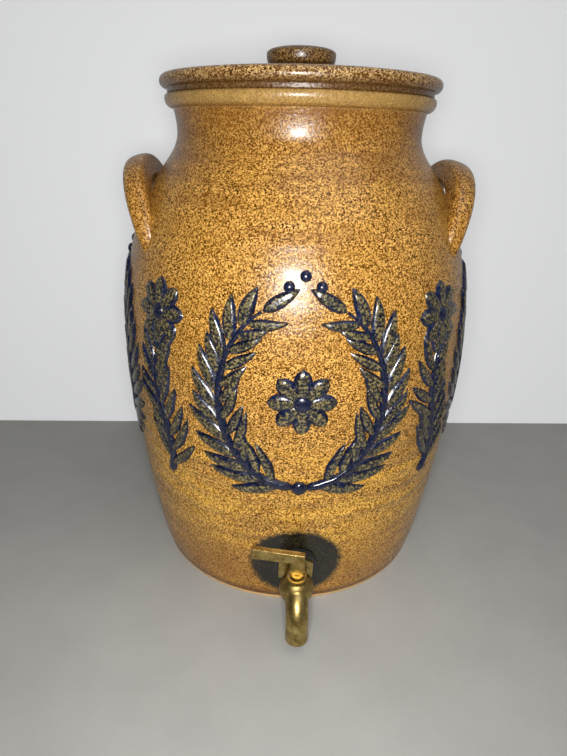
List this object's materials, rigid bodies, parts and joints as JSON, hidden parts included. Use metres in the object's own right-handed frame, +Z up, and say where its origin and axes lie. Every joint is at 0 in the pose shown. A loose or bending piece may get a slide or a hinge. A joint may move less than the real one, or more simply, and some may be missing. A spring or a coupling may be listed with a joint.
{
  "type": "stoneware water crock with tap",
  "caption": "Bellied salt-glazed stoneware water crock with ear handles, a knobbed lift-off lid and a brass plug tap with a turning lever near the foot.",
  "frame": {"origin": "centre of the flat foot, on the surface that the crock stands on", "axes": "+Z up, the tap points along -Y, the two handles lie along +X and -X"},
  "size_m": [0.213, 0.2375, 0.3059],
  "materials": {
    "stoneware": "salt-glazed orange peel, speckled orange brown",
    "cobalt_slip": "raised cobalt blue slip under salt glaze, olive where it is thin",
    "brass": "aged, rubbed bright on the edges",
    "rubber": "matt black",
    "steel": "plain"
  },
  "bodies": {
    "crock": {"crock_body": "stoneware", "crock_neck": "stoneware", "left_handle": "stoneware", "right_handle": "stoneware", "wreath_1": "cobalt_slip", "wreath_2": "cobalt_slip", "wreath_3": "cobalt_slip", "wreath_4": "cobalt_slip", "wreath_flower_1": "cobalt_slip", "wreath_flower_2": "cobalt_slip", "wreath_flower_3": "cobalt_slip", "wreath_flower_4": "cobalt_slip", "sprig_1": "cobalt_slip", "sprig_2": "cobalt_slip", "sprig_3": "cobalt_slip", "sprig_4": "cobalt_slip", "tap_body": "brass", "outer_washer": "rubber", "inner_washer": "rubber", "backing_washer": "steel", "lock_nut": "brass"},
    "cover": {"lid": "stoneware", "lid_knob": "stoneware"},
    "valve": {"tap_plug": "brass", "tap_lever": "brass", "lever_pin": "steel", "plug_washer": "brass", "plug_nut": "brass"}
  },
  "joints": [
    {"name": "lid_lift", "type": "slide", "parent": "crock", "child": "cover", "axis": [0, 0, 1], "range_m": [0, 0.08]},
    {"name": "tap_turn", "type": "hinge", "parent": "crock", "child": "valve", "pos_m": [0, -0.11041, 0.0299], "axis": [0, -0.1626, 0.9867], "range_deg": [0, 100]}
  ]
}
